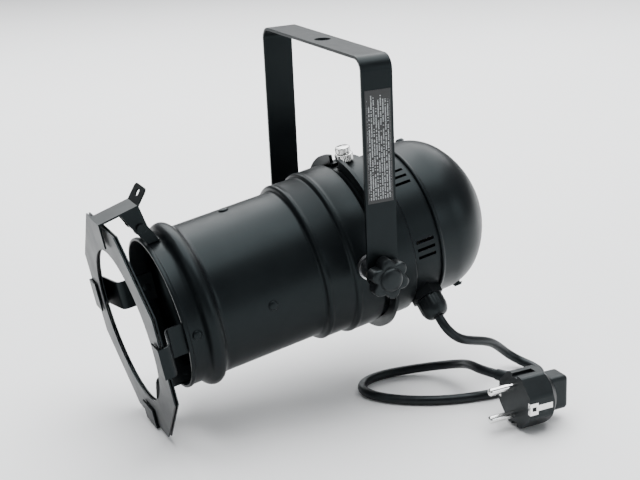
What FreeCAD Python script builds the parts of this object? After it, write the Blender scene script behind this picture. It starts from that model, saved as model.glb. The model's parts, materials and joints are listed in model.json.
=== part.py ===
"""Small par can light: a spun steel can that hangs in a flat-bar yoke.

Millimetres. The row frame has +Z up along the yoke, the beam towards -Y and the origin in the
mouth of the hanging hole, on top of the yoke. The can itself is drawn in its own frame, with the
can's axis on Y, the tilt pivot at Y = 0 and the front towards -Y, and is then set in place.
Places along the can's axis are called stations.
"""
import FreeCAD, Part
import math
import os

V = FreeCAD.Vector

# ---- can shell ------------------------------------------------------------------------------
TUBE_R = 50.0              # outside radius of the long front tube
WALL = 1.0                 # spun sheet thickness
STEP_1 = 3.4               # how much the second section stands out from the first
STEP_2 = 2.2               # how much the third section stands out from the second
BEAD_HEIGHT = 5.0          # rolled bead behind the mouth
BEAD_WIDTH = 12.0
RIM_STATION = -125.8       # mouth of the tube
RIM_HEM = 1.3              # rolled hem round the mouth, how far it stands out
BEAD_STATION = -107.6
STEP_1_STATION = -29.6
STEP_2_STATION = -9.9
STEP_LENGTH = 3.2          # axial length of one rolled step
SHOULDER_STATION = 9.0     # where the third section turns in to the spigot
SPIGOT_GAP = 0.6           # radial gap between spigot and housing
SPIGOT_END = 30.0

# ---- rear housing ---------------------------------------------------------------------------
COLLAR_R = 55.6
COLLAR_WALL = 1.2
COLLAR_START = 13.4
FLANGE_R = 61.0
FLANGE_THICK = 2.4
BAND_START = 33.5
BAND_R = 52.0
BAND_LAP = 4.0             # how far the vent band reaches into the collar's lip
DOME_START = 53.5
DOME_LAP = 6.0             # how far the dome cap reaches over the band
DOME_STRAIGHT = 13.0       # parallel part of the dome cap, from its front edge
DOME_DEPTH = 41.0          # curved part of the dome cap
DOME_SHOULDER = 32.0       # radius of the dome's shoulder arc
SLOT_LENGTH = 13.0
SLOT_WIDTH = 2.1
SLOT_PITCH = 5.4
SLOTS_PER_GROUP = 3
VENT_ANGLES = (33.0, 90.0, 180.0, 226.0, 270.0, 327.0)

# ---- lamp and lampholder --------------------------------------------------------------------
LAMP_R = 47.5              # PAR-30 lamp, 95 mm across
LAMP_FACE = -22.0
LAMP_RIM = 9.0
LAMP_NECK_R = 19.0
LAMP_NECK = 38.0
LAMP_GLASS = 1.5
LENS_EDGE = 2.0
LENS_LAND = 2.5
LENS_BULGE = 3.0
CAP_R = 13.1               # E27 screw cap
CAP_LENGTH = 24.0
HOLDER_R = 20.5
HOLDER_START = 40.2
HOLDER_LENGTH = 42.0
HOLDER_GAP = 0.4
STRAP_WIDTH = 18.0
STRAP_THICK = 1.5
STRAP_TAB = 14.0
DOME_SCREW_ANGLE = 152.0
DOME_SCREW_STATION = 75.4
DOME_SCREW_R = 2.0
DOME_SCREW_HEAD_R = 3.6
HOLDER_SCREW_R = 1.9
EARTH_SCREW_R = 2.0
EARTH_SCREW_AT = 38.0      # from the can's axis, along the strap
HOLDER_SHELL = 0.6         # brass thread shell inside the lampholder
WIRE_R = 1.2
WIRE_SPREAD = 3.4
HOLDER_SCREW_SPACING = 22.0

# ---- thumb screw ----------------------------------------------------------------------------
THUMB_STATION = 21.4
THUMB_R = 6.1
THUMB_TOP_R = 5.0
THUMB_LOW = 5.2
THUMB_HIGH = 4.6
THUMB_SHANK_R = 2.5
THUMB_SLOT = 6.4
MOVING_GAP = 0.35          # gap between neighbours that move past each other
NUT_ACROSS = 10.0
NUT_HEIGHT = 4.0

# ---- yoke and tilt pivots -------------------------------------------------------------------
PIVOT_DROP = 137.0         # from the yoke's top face down to the tilt axis
PIVOT_RISE = 4.0           # the tilt axis stands this much above the can's own axis
REST_TILT = 9.5            # nose-down angle of the can at rest
YOKE_HALF = 73.5           # half the yoke's outside width
YOKE_BAR = 21.0
YOKE_THICK = 2.0
YOKE_BEND = 9.0            # outside radius of the two top bends
YOKE_FOOT = 10.5           # from the tilt axis to the end of each leg
HANGING_HOLE_R = 5.25      # takes an M10 bolt
STUD_R = 4.0
STUD_FIT = 0.08            # radial running clearance
SPACER_R = 7.5
WASHER_R = 10.0
WASHER_THICK = 1.4
INSERT_R = 6.5
INSERT_FLANGE_R = 8.5
INSERT_LENGTH = 8.5
KNOB_R = 13.4
KNOB_LOBES = 6
KNOB_LOBE_R = 4.6
KNOB_HEIGHT = 11.0
KNOB_HUB_R = 7.0
KNOB_CROWN = 3.0
LABEL_WIDTH = 17.6
LABEL_HEIGHT = 70.0
LABEL_THICK = 0.15
LABEL_RISE = 82.0          # middle of the label above the tilt axis

# ---- filter frame, clips and latch ----------------------------------------------------------
FRAME_STATION = -146.4
FRAME_FLAT = 139.4         # across the flats of the octagon
FRAME_HOLE_R = 50.8
FRAME_SHEET = 0.9
FRAME_GAP = 1.0            # space between the two sheets, for the colour filter
FRAME_RIVET_R = 1.8
FRAME_RIVET_CIRCLE = 65.0
CLIP_WIDTH = 20.0
CLIP_THICK = 1.2
CLIP_SIDE_GAP = 0.6        # between the frame's edge and the clip
CLIP_FACE_GAP = 0.5        # between the frame's faces and the clip
CLIP_LIP = 12.0
CLIP_FOOT = 13.0
CLIP_KNEE = -137.0
CLIP_BEND = 4.0            # longest side of a softened bend
CLIP_ANGLES = (90.0, 180.0, 270.0)
CLIP_RIVET_R = 2.0
CLIP_RIVET_HEAD_R = 3.6
LATCH_WIDTH = 19.0
LATCH_THICK = 1.2
LATCH_PIN = (-125.5, 62.5)
LATCH_PIN_R = 1.6
LATCH_TOP = 72.0           # strap height at the lip
LATCH_RISE = 3.8           # the strap climbs this much up to its fold
LATCH_FACE_GAP = 1.3       # lets the lip swing clear of the frame
LATCH_LIP = 15.0
LATCH_BEND = -123.3
LATCH_TAB = 12.0
LATCH_TAB_ANGLE = 49.0
LATCH_EYE_R = 4.6
SPRING_R = 4.2
LATCH_HOLE_R = 2.6
EAR_GAP = 0.4
EAR_THICK = 1.2
EAR_RADIUS = 6.0
EAR_FOOT = (-123.0, -115.2)

# ---- tube rivets ----------------------------------------------------------------------------
TUBE_RIVET_STATION = -66.6
TUBE_RIVET_R = 2.0
TUBE_RIVET_HEAD_R = 3.9
TUBE_RIVET_HEAD = 1.3
TUBE_RIVET_ANGLES = (-6.0, 90.0, 180.0, 270.0)

# ---- cable gland, cord and plug -------------------------------------------------------------
GLAND_ANGLE = 134.0
GLAND_STATION = 43.4
GLAND_HEX = 19.0
GLAND_BASE = 6.0
GLAND_CAP_R = 9.3
GLAND_TIP_R = 6.2
GLAND_REACH = 72.0         # radius, from the can's axis, of the gland's outer end
GLAND_THREAD_R = 6.0
LOCKNUT_R = 9.0
LOCKNUT_THICK = 3.0
TERMINAL = (13.0, 9.0, 8.0)
WIRE_ENDS = ((26.0, 70.0, 138.0), (26.0, 70.0, 146.0), (38.0, 76.0, 152.0))
CORD_R = 3.1
FLOOR_Z = -237.3
PLUG_FACE = (122.4, 64.6, -218.4)
PLUG_R = 18.4
PLUG_BODY = 23.0
PLUG_PIN_R = 2.4
PLUG_ROOT_R = 2.0          # the part of a pin inside the moulding
PLUG_FLATS = 34.8          # across the moulding's flats
PLUG_PIN_LENGTH = 19.0
PLUG_PIN_SPACING = 19.0
PLUG_GRIP = (13.0, 15.0, 23.0)
BOOT_LENGTH = 19.0
BOOT_R = 4.6
EARTH_WIDTH = 4.0
EARTH_THICK = 0.8
EARTH_LENGTH = 17.0
EARTH_HEAD = 6.0
GUIDE_LENGTH = 14.0
GUIDE_DEPTH = 2.0


# ---- shape helpers --------------------------------------------------------------------------
def turned(points):
    """A solid turned about the Y axis from (radius, station) corners."""
    corners = [V(r, s, 0) for r, s in points]
    corners.append(corners[0])
    face = Part.Face(Part.makePolygon(corners))
    return face.revolve(V(0, 0, 0), V(0, 1, 0), 360)


def turned_outline(edges):
    """A solid turned about the Y axis from a closed chain of edges in the XY plane."""
    face = Part.Face(Part.Wire(Part.__sortEdges__(edges)))
    return face.revolve(V(0, 0, 0), V(0, 1, 0), 360)


def line(a, b):
    return Part.LineSegment(V(a[0], a[1], 0), V(b[0], b[1], 0)).toShape()


def arc(a, middle, b):
    points = [V(p[0], p[1], 0) for p in (a, middle, b)]
    return Part.Arc(*points).toShape()


def ring(outer, inner, start, length):
    """A tube about the Y axis."""
    shape = Part.makeCylinder(outer, length, V(0, start, 0), V(0, 1, 0))
    return shape.cut(Part.makeCylinder(inner, length, V(0, start, 0), V(0, 1, 0)))


def rod(radius, start, end):
    direction = end.sub(start)
    return Part.makeCylinder(radius, direction.Length, start, direction)


def block(low, high):
    size = V(*high).sub(V(*low))
    return Part.makeBox(size.x, size.y, size.z, V(*low))


def around(shape, angle):
    """Turn a shape from the top of the can to another angle about the can's axis."""
    copy = shape.copy()
    copy.rotate(V(0, 0, 0), V(0, 1, 0), angle)
    return copy


def strip_along(points, thick, width):
    """Bent flat strip: (Y, Z) corners of its one face, with its width along X."""
    path = [V(0, y, z) for y, z in points]
    left = []
    for i, p in enumerate(path):
        before = p.sub(path[i - 1]).normalize() if i else None
        after = path[i + 1].sub(p).normalize() if i < len(path) - 1 else None
        before = before or after
        after = after or before
        n1 = V(0, -before.z, before.y)
        n2 = V(0, -after.z, after.y)
        mean = n1.add(n2).normalize()
        left.append(p.add(mean * (thick / mean.dot(n1))))
    outline = path + left[::-1] + [path[0]]
    face = Part.Face(Part.makePolygon(outline))
    face.translate(V(-width / 2, 0, 0))
    return face.extrude(V(width, 0, 0))


def softened(points, limit):
    """Replace each inner corner of a (Y, Z) path by a short curve of at most this length a side."""
    result = [points[0]]
    for before, corner, after in zip(points, points[1:], points[2:]):
        p, a, b = (V(0, *q) for q in (corner, before, after))
        trim = min(limit, 0.45 * p.distanceToPoint(a), 0.45 * p.distanceToPoint(b))
        start = p.add(a.sub(p).normalize() * trim)
        end = p.add(b.sub(p).normalize() * trim)
        for step in range(5):
            t = step / 4.0
            q = start * (1 - t) ** 2 + p * (2 * t * (1 - t)) + end * t ** 2
            result.append((q.y, q.z))
    result.append(points[-1])
    return result


def polygon_plate(corner_radius, sides, first_angle, start, thick):
    """A regular flat plate square to the Y axis."""
    corners = []
    for i in range(sides + 1):
        a = math.radians(first_angle + 360.0 * i / sides)
        corners.append(V(corner_radius * math.sin(a), start, corner_radius * math.cos(a)))
    return Part.Face(Part.makePolygon(corners)).extrude(V(0, thick, 0))


def group(shapes):
    return shapes[0] if len(shapes) == 1 else Part.makeCompound(shapes)


def round_edges(shape, radius, keep):
    """Fillet the edges that keep() accepts."""
    edges = [e for e in shape.Edges if keep(e)]
    return shape.makeFillet(radius, edges)


# ---- placing --------------------------------------------------------------------------------
def set_can(shape):
    """Move a piece from the can's frame into the row frame."""
    copy = shape.copy()
    copy.translate(V(0, 0, -PIVOT_RISE))
    copy.rotate(V(0, 0, 0), V(1, 0, 0), REST_TILT)
    copy.translate(V(0, 0, -PIVOT_DROP))
    return copy


def can_point(x, station, z):
    """Row-frame place of a point given in the can's frame."""
    return set_can(Part.Vertex(x, station, z)).Point


# ---- can tube -------------------------------------------------------------------------------
SECTION_2_R = TUBE_R + STEP_1
SECTION_3_R = SECTION_2_R + STEP_2
SPIGOT_R = COLLAR_R - COLLAR_WALL - SPIGOT_GAP


def tube_skin(inset):
    """The tube's turned form, its outside when inset is 0 and its bore when it is the wall."""
    half = BEAD_WIDTH / 2
    half_step = STEP_LENGTH / 2
    front = RIM_STATION - (1.0 if inset else 0.0)
    back = SPIGOT_END + (1.0 if inset else 0.0)
    stops = [
        (0, front),
        (TUBE_R - inset, front),
        (TUBE_R - inset, BEAD_STATION - half),
        (TUBE_R - inset, BEAD_STATION + half),
        (TUBE_R - inset, STEP_1_STATION - half_step),
        (SECTION_2_R - inset, STEP_1_STATION + half_step),
        (SECTION_2_R - inset, STEP_2_STATION - half_step),
        (SECTION_3_R - inset, STEP_2_STATION + half_step),
        (SECTION_3_R - inset, SHOULDER_STATION - inset),
        (SPIGOT_R - inset, SHOULDER_STATION + 2.0 - inset),
        (SPIGOT_R - inset, back),
        (0, back),
    ]
    edges = []
    for i, a in enumerate(stops):
        b = stops[(i + 1) % len(stops)]
        if i == 2:
            edges.append(arc(a, (TUBE_R + BEAD_HEIGHT - inset, BEAD_STATION), b))
        else:
            edges.append(line(a, b))
    return turned_outline(edges)


def can_tube():
    shell = tube_skin(0.0).cut(tube_skin(WALL))
    hem = ring(TUBE_R + RIM_HEM, TUBE_R - 0.2, RIM_STATION, 2.4)
    shell = shell.fuse(hem)
    for angle in TUBE_RIVET_ANGLES:
        shell = shell.cut(around(rod(TUBE_RIVET_R, V(0, TUBE_RIVET_STATION, TUBE_R - 6),
                                     V(0, TUBE_RIVET_STATION, TUBE_R + 6)), angle))
    for angle in CLIP_ANGLES:
        shell = shell.cut(around(rod(CLIP_RIVET_R, V(0, CLIP_RIVET_STATION, TUBE_R - 6),
                                     V(0, CLIP_RIVET_STATION, TUBE_R + 6)), angle))
    for x in EAR_RIVET_X:
        shell = shell.cut(rod(CLIP_RIVET_R, V(x, EAR_RIVET_STATION, TUBE_R - 8),
                              V(x, EAR_RIVET_STATION, TUBE_R + 6)))
    for side in (1, -1):
        shell = shell.cut(rod(INSERT_R, V(side * (SECTION_3_R - 12), 0, PIVOT_RISE),
                              V(side * (SECTION_3_R + 6), 0, PIVOT_RISE)))
    shell = shell.cut(rod(THUMB_HOLE_R, V(0, THUMB_STATION, SPIGOT_R - 8),
                          V(0, THUMB_STATION, SPIGOT_R + 4)))
    return shell.removeSplitter()


def tube_rivets():
    rivets = []
    for angle in TUBE_RIVET_ANGLES:
        shank = rod(TUBE_RIVET_R, V(0, TUBE_RIVET_STATION, TUBE_R - 3.5),
                    V(0, TUBE_RIVET_STATION, TUBE_R))
        dome = rod(TUBE_RIVET_HEAD_R, V(0, TUBE_RIVET_STATION, TUBE_R - 0.3),
                   V(0, TUBE_RIVET_STATION, TUBE_R + TUBE_RIVET_HEAD))
        skin = Part.makeCylinder(TUBE_R, 30, V(0, TUBE_RIVET_STATION - 15, 0), V(0, 1, 0))
        rivets.append(around(shank.fuse(dome.cut(skin)), angle))
    return group(rivets)


# ---- filter clips ---------------------------------------------------------------------------
FRAME_THICK = 2 * FRAME_SHEET + FRAME_GAP
FRAME_FRONT = FRAME_STATION - FRAME_THICK / 2
FRAME_BACK = FRAME_STATION + FRAME_THICK / 2
CLIP_INSIDE = FRAME_FLAT / 2 + CLIP_SIDE_GAP
CLIP_SEAT = math.sqrt((TUBE_R - WALL) ** 2 - (CLIP_WIDTH / 2) ** 2) - 0.05
CLIP_RIVET_STATION = RIM_STATION + CLIP_FOOT / 2 + 1.0


def clip():
    """One spring-steel arm at the top; it is riveted inside the mouth and holds the frame."""
    front = FRAME_FRONT - CLIP_FACE_GAP
    back = FRAME_BACK + CLIP_FACE_GAP
    path = [
        (RIM_STATION + CLIP_FOOT, CLIP_SEAT - CLIP_THICK),
        (CLIP_KNEE, CLIP_SEAT - CLIP_THICK),
        (back + CLIP_THICK + 1.8, CLIP_INSIDE - 3.0),
        (back + CLIP_THICK, CLIP_INSIDE),
        (front - CLIP_THICK, CLIP_INSIDE),
    ]
    arm = strip_along(softened(path[::-1], CLIP_BEND), CLIP_THICK, CLIP_WIDTH)
    lip = block((-CLIP_WIDTH / 2, front - CLIP_THICK, CLIP_INSIDE - CLIP_LIP),
                (CLIP_WIDTH / 2, front, CLIP_INSIDE + CLIP_THICK))
    arm = arm.fuse(lip)
    hole = rod(CLIP_RIVET_R, V(0, CLIP_RIVET_STATION, CLIP_SEAT - 6),
               V(0, CLIP_RIVET_STATION, CLIP_SEAT + 6))
    return arm.cut(hole).removeSplitter()


def head_on_tube(angle_x, station, head_r, shank_low):
    """A rivet through the tube at a given sideways place, with its head on the outside."""
    surface = math.sqrt(TUBE_R ** 2 - angle_x ** 2)
    shank = rod(CLIP_RIVET_R, V(angle_x, station, shank_low), V(angle_x, station, surface + 0.4))
    head = rod(head_r, V(angle_x, station, surface - 1.0), V(angle_x, station, surface + 1.6))
    skin = Part.makeCylinder(TUBE_R, 30, V(0, station - 15, 0), V(0, 1, 0))
    return shank.fuse(head.cut(skin))


def clip_rivets():
    low = CLIP_SEAT - CLIP_THICK - 0.8
    rivet = head_on_tube(0.0, CLIP_RIVET_STATION, CLIP_RIVET_HEAD_R, low)
    tail = rod(3.0, V(0, CLIP_RIVET_STATION, low), V(0, CLIP_RIVET_STATION, low + 0.8))
    rivet = rivet.fuse(tail)
    return group([around(rivet, angle) for angle in CLIP_ANGLES])


# ---- latch ----------------------------------------------------------------------------------
EAR_RIVET_STATION = (EAR_FOOT[0] + EAR_FOOT[1]) / 2
EAR_INSIDE = LATCH_WIDTH / 2 - LATCH_THICK - EAR_GAP - EAR_THICK
EAR_RIVET_X = (0.0,)
EAR_BASE = TUBE_R + 0.05


def ear_bracket():
    """The riveted bracket: a foot on the tube and two ears that carry the latch pin."""
    width = 2 * (EAR_INSIDE + EAR_THICK)
    foot = block((-width / 2, EAR_FOOT[0], EAR_BASE), (width / 2, EAR_FOOT[1], EAR_BASE + EAR_THICK))
    y, z = LATCH_PIN
    pieces = foot
    for side in (-1, 1):
        x0 = side * EAR_INSIDE
        x1 = side * (EAR_INSIDE + EAR_THICK)
        low, high = min(x0, x1), max(x0, x1)
        corners = [V(low, EAR_FOOT[1], EAR_BASE), V(low, EAR_FOOT[0], EAR_BASE),
                   V(low, y - EAR_RADIUS + 1.6, z), V(low, y + EAR_RADIUS - 1.2, z),
                   V(low, EAR_FOOT[1], EAR_BASE)]
        web = Part.Face(Part.makePolygon(corners)).extrude(V(high - low, 0, 0))
        eye = rod(EAR_RADIUS - 1.6, V(low, y, z), V(high, y, z))
        pieces = pieces.fuse(web.fuse(eye))
    hole = rod(LATCH_PIN_R + 0.05, V(-20, y, z), V(20, y, z))
    foot_hole = rod(CLIP_RIVET_R, V(0, EAR_RIVET_STATION, EAR_BASE - 2), V(0, EAR_RIVET_STATION, 60))
    return pieces.cut(hole).cut(foot_hole).removeSplitter()


def ear_rivet():
    base = EAR_BASE + EAR_THICK
    shank = rod(CLIP_RIVET_R, V(0, EAR_RIVET_STATION, TUBE_R - 3), V(0, EAR_RIVET_STATION, base))
    head = rod(3.2, V(0, EAR_RIVET_STATION, base), V(0, EAR_RIVET_STATION, base + 1.4))
    tail = rod(3.0, V(0, EAR_RIVET_STATION, TUBE_R - 3), V(0, EAR_RIVET_STATION, TUBE_R - 2))
    return shank.fuse(head).fuse(tail)


def latch():
    """The sprung latch: a lip in front of the frame, two cheeks on the pin and a lifting tab."""
    front = FRAME_FRONT - LATCH_FACE_GAP
    a = math.radians(LATCH_TAB_ANGLE)
    fold = (LATCH_BEND, LATCH_TOP + LATCH_RISE)
    tab_end = (fold[0] + LATCH_TAB * math.cos(a), fold[1] + LATCH_TAB * math.sin(a))
    start = (front - LATCH_THICK, LATCH_TOP)
    strap = strip_along([start, fold, tab_end], LATCH_THICK, LATCH_WIDTH)
    strap = round_edges(strap, 3.0, lambda e: is_tab_corner(e, tab_end))
    lip = block((-LATCH_WIDTH / 2, front - LATCH_THICK, LATCH_TOP - LATCH_LIP),
                (LATCH_WIDTH / 2, front, LATCH_TOP + 0.3))
    shape = strap.fuse(lip)
    y, z = LATCH_PIN
    slope = LATCH_RISE / (fold[0] - start[0])
    for side in (-1, 1):
        x0 = side * LATCH_WIDTH / 2
        x1 = side * (LATCH_WIDTH / 2 - LATCH_THICK)
        low, high = min(x0, x1), max(x0, x1)
        ahead = y - 2.2 * LATCH_EYE_R
        corners = [V(low, ahead, LATCH_TOP + 0.1 + slope * (ahead - start[0])), V(low, y - LATCH_EYE_R, z),
                   V(low, y + LATCH_EYE_R, z), V(low, fold[0] + 0.3, fold[1] + 0.1)]
        corners.append(corners[0])
        cheek = Part.Face(Part.makePolygon(corners)).extrude(V(high - low, 0, 0))
        eye = rod(LATCH_EYE_R, V(low, y, z), V(high, y, z))
        shape = shape.fuse(cheek.fuse(eye))
    normal = V(0, -math.sin(a), math.cos(a))
    centre = V(0, fold[0], fold[1]).add(V(0, math.cos(a), math.sin(a)) * (LATCH_TAB * 0.6))
    shape = shape.cut(rod(LATCH_HOLE_R, centre.sub(normal * 5), centre.add(normal * 5)))
    shape = shape.cut(rod(LATCH_PIN_R + 0.05, V(-20, y, z), V(20, y, z)))
    return shape.removeSplitter()


def is_tab_corner(edge, tab_end):
    c = edge.CenterOfMass
    return abs(c.x) > LATCH_WIDTH / 2 - 0.01 and math.hypot(c.y - tab_end[0], c.z - tab_end[1]) < LATCH_THICK


def latch_pin():
    y, z = LATCH_PIN
    half = LATCH_WIDTH / 2
    pin = rod(LATCH_PIN_R, V(-half - 0.8, y, z), V(half + 0.8, y, z))
    for x in (-half - 1.8, half + 0.4):
        pin = pin.fuse(rod(2.8, V(x, y, z), V(x + 1.4, y, z)))
    return pin


def latch_spring():
    """Torsion spring on the pin, between the ears, as a close-wound sleeve."""
    y, z = LATCH_PIN
    sleeve = rod(SPRING_R, V(-4.5, y, z), V(4.5, y, z))
    return sleeve.cut(rod(LATCH_PIN_R + 0.3, V(-6, y, z), V(6, y, z)))


# ---- filter frame ---------------------------------------------------------------------------
FRAME_CORNER = FRAME_FLAT / 2 / math.cos(math.radians(22.5))


def frame_sheet(start):
    plate = polygon_plate(FRAME_CORNER, 8, 22.5, start, FRAME_SHEET)
    plate = plate.cut(rod(FRAME_HOLE_R, V(0, start - 1, 0), V(0, start + FRAME_SHEET + 1, 0)))
    for angle in FRAME_RIVET_ANGLES:
        hole = around(rod(FRAME_RIVET_R, V(0, start - 1, FRAME_RIVET_CIRCLE),
                          V(0, start + FRAME_SHEET + 1, FRAME_RIVET_CIRCLE)), angle)
        plate = plate.cut(hole)
    return plate


FRAME_RIVET_ANGLES = (45.0, 135.0, 225.0, 315.0)


def frame_rivets():
    rivets = []
    for angle in FRAME_RIVET_ANGLES:
        shank = rod(FRAME_RIVET_R, V(0, FRAME_FRONT, FRAME_RIVET_CIRCLE),
                    V(0, FRAME_BACK, FRAME_RIVET_CIRCLE))
        spacer = rod(3.0, V(0, FRAME_FRONT + FRAME_SHEET, FRAME_RIVET_CIRCLE),
                     V(0, FRAME_BACK - FRAME_SHEET, FRAME_RIVET_CIRCLE))
        rivets.append(around(shank.fuse(spacer), angle))
    return group(rivets)


# ---- yoke and pivots ------------------------------------------------------------------------
def yoke():
    """Flat bar bent to a U, with the hanging hole on top and a pivot hole in each leg."""
    half, t, r = YOKE_HALF, YOKE_THICK, YOKE_BEND
    foot = -PIVOT_DROP - YOKE_FOOT
    outside = block((-half, -YOKE_BAR / 2, foot), (half, YOKE_BAR / 2, 0))
    inside = block((-half + t, -YOKE_BAR, foot - 1), (half - t, YOKE_BAR, -t))
    outside = round_edges(outside, r, lambda e: is_top_bend(e, half, 0))
    inside = round_edges(inside, r - t, lambda e: is_top_bend(e, half - t, -t))
    bar = outside.cut(inside)
    ends = []
    for side in (-1, 1):
        x = side * half
        square = block((min(x, x - side * 4), -YOKE_BAR, foot - 1),
                       (max(x, x - side * 4), YOKE_BAR, -PIVOT_DROP))
        circle = rod(YOKE_FOOT, V(x - 6, 0, -PIVOT_DROP), V(x + 6, 0, -PIVOT_DROP))
        ends.append(square.cut(circle))
    for end in ends:
        bar = bar.cut(end)
    bar = bar.cut(rod(HANGING_HOLE_R, V(0, 0, -t - 2), V(0, 0, 2)))
    bar = bar.cut(rod(STUD_R + STUD_FIT, V(-half - 5, 0, -PIVOT_DROP), V(half + 5, 0, -PIVOT_DROP)))
    return bar.removeSplitter()


def is_top_bend(edge, half, top):
    c = edge.CenterOfMass
    return abs(abs(c.x) - half) < 1e-6 and abs(c.z - top) < 1e-6 and abs(c.y) < 1e-6


def label_film():
    """Printed film on the outside of the near leg."""
    z = LABEL_RISE - PIVOT_DROP
    return block((YOKE_HALF, -LABEL_WIDTH / 2, z - LABEL_HEIGHT / 2),
                 (YOKE_HALF + LABEL_THICK, LABEL_WIDTH / 2, z + LABEL_HEIGHT / 2))


def side_x(side, distance):
    return V(side * distance, 0, PIVOT_RISE)


def pivot_insert(side):
    """Threaded insert pressed into the side of the tube."""
    wall = math.sqrt(SECTION_3_R ** 2 - PIVOT_RISE ** 2)
    barrel = rod(INSERT_R, side_x(side, wall - INSERT_LENGTH + 2), side_x(side, wall + 0.6))
    flange = rod(INSERT_FLANGE_R, side_x(side, wall - 0.4), side_x(side, wall + 2.0))
    skin = Part.makeCylinder(SECTION_3_R, 60, V(0, -30, 0), V(0, 1, 0))
    insert = barrel.fuse(flange.cut(skin))
    bore = rod(STUD_R + STUD_FIT, side_x(side, wall - 20), side_x(side, wall + 10))
    return insert.cut(bore)


def pivot_stack(side):
    """Spacer bush and friction washer between insert and yoke."""
    wall = math.sqrt(SECTION_3_R ** 2 - PIVOT_RISE ** 2) + 2.0
    inner_face = YOKE_HALF - YOKE_THICK - MOVING_GAP
    bore = rod(STUD_R + STUD_FIT, side_x(side, wall - 5), side_x(side, inner_face + 5))
    spacer = rod(SPACER_R, side_x(side, wall), side_x(side, inner_face - WASHER_THICK)).cut(bore)
    washer = rod(WASHER_R, side_x(side, inner_face - WASHER_THICK), side_x(side, inner_face)).cut(bore)
    return spacer, washer


def tilt_stud(side):
    wall = math.sqrt(SECTION_3_R ** 2 - PIVOT_RISE ** 2)
    return rod(STUD_R, side_x(side, wall - INSERT_LENGTH + 4),
               side_x(side, YOKE_HALF + MOVING_GAP + KNOB_HEIGHT - 3))


def tilt_knob(side):
    """Six-lobed star knob, moulded round the head of its stud."""
    base = YOKE_HALF + MOVING_GAP + WASHER_THICK
    centre_r = KNOB_R - KNOB_LOBE_R
    shape = rod(centre_r + 1.0, side_x(side, base), side_x(side, base + KNOB_HEIGHT - 1.5))
    for i in range(KNOB_LOBES):
        a = 2 * math.pi * i / KNOB_LOBES
        at = V(0, centre_r * math.cos(a), centre_r * math.sin(a))
        lobe = rod(KNOB_LOBE_R, side_x(side, base).add(at), side_x(side, base + KNOB_HEIGHT - 2).add(at))
        shape = shape.fuse(lobe)
    hub = rod(KNOB_HUB_R, side_x(side, base), side_x(side, base + KNOB_HEIGHT + KNOB_CROWN - 2))
    shape = shape.fuse(hub)
    bore = rod(STUD_R, side_x(side, base - 5), side_x(side, YOKE_HALF + MOVING_GAP + KNOB_HEIGHT - 3))
    return shape.cut(bore).removeSplitter()


def knob_washer(side):
    start = YOKE_HALF + MOVING_GAP
    washer = rod(WASHER_R - 0.5, side_x(side, start), side_x(side, start + WASHER_THICK))
    return washer.cut(rod(STUD_R, side_x(side, start - 2), side_x(side, start + 4)))


# ---- rear housing ---------------------------------------------------------------------------
def housing_collar():
    """Collar with a rolled flange at its mouth and a turned-in lip that holds the vent band."""
    inner = COLLAR_R - COLLAR_WALL
    shape = turned([
        (inner, COLLAR_START), (FLANGE_R, COLLAR_START), (FLANGE_R, COLLAR_START + FLANGE_THICK),
        (COLLAR_R, COLLAR_START + FLANGE_THICK), (COLLAR_R, BAND_START - 1.2),
        (COLLAR_R - 1.2, BAND_START), (BAND_R, BAND_START), (BAND_R, BAND_START - COLLAR_WALL),
        (inner, BAND_START - COLLAR_WALL),
    ])
    half = THUMB_SLOT / 2
    slot = block((-half, COLLAR_START - 1, inner - 6), (half, THUMB_STATION, FLANGE_R + 2))
    slot = slot.fuse(rod(half, V(0, THUMB_STATION, inner - 6), V(0, THUMB_STATION, FLANGE_R + 2)))
    wide = THUMB_R + MOVING_GAP
    notch = block((-wide, COLLAR_START - 1, COLLAR_R), (wide, THUMB_STATION, FLANGE_R + 2))
    return shape.cut(slot).cut(notch)


def vent_band():
    """Louvre band with groups of cooling slots and the cable entry hole."""
    start = BAND_START - BAND_LAP
    shape = ring(BAND_R, BAND_R - WALL, start, DOME_START + DOME_LAP - start)
    middle = (BAND_START + DOME_START) / 2
    for angle in VENT_ANGLES:
        for i in range(SLOTS_PER_GROUP):
            offset = (i - (SLOTS_PER_GROUP - 1) / 2) * SLOT_PITCH
            turn = math.degrees(offset / BAND_R)
            slot = block((-SLOT_WIDTH / 2, middle - SLOT_LENGTH / 2, BAND_R - 4),
                         (SLOT_WIDTH / 2, middle + SLOT_LENGTH / 2, BAND_R + 4))
            shape = shape.cut(around(slot, angle + turn))
    hole = rod(GLAND_THREAD_R, V(0, GLAND_STATION, BAND_R - 6), V(0, GLAND_STATION, BAND_R + 6))
    shape = shape.cut(around(hole, GLAND_ANGLE))
    return shape


DOME_R = BAND_R + WALL
DOME_SPRING = DOME_START + DOME_STRAIGHT
DOME_CROWN = ((DOME_R - DOME_SHOULDER) ** 2 + DOME_DEPTH ** 2 - DOME_SHOULDER ** 2) / (
    2 * (DOME_DEPTH - DOME_SHOULDER))


def dome_radius(station):
    """Outside radius of the dome cap at a station on its parallel part or its shoulder."""
    run = max(0.0, station - DOME_SPRING)
    return DOME_R - DOME_SHOULDER + math.sqrt(DOME_SHOULDER ** 2 - run ** 2)


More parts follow.
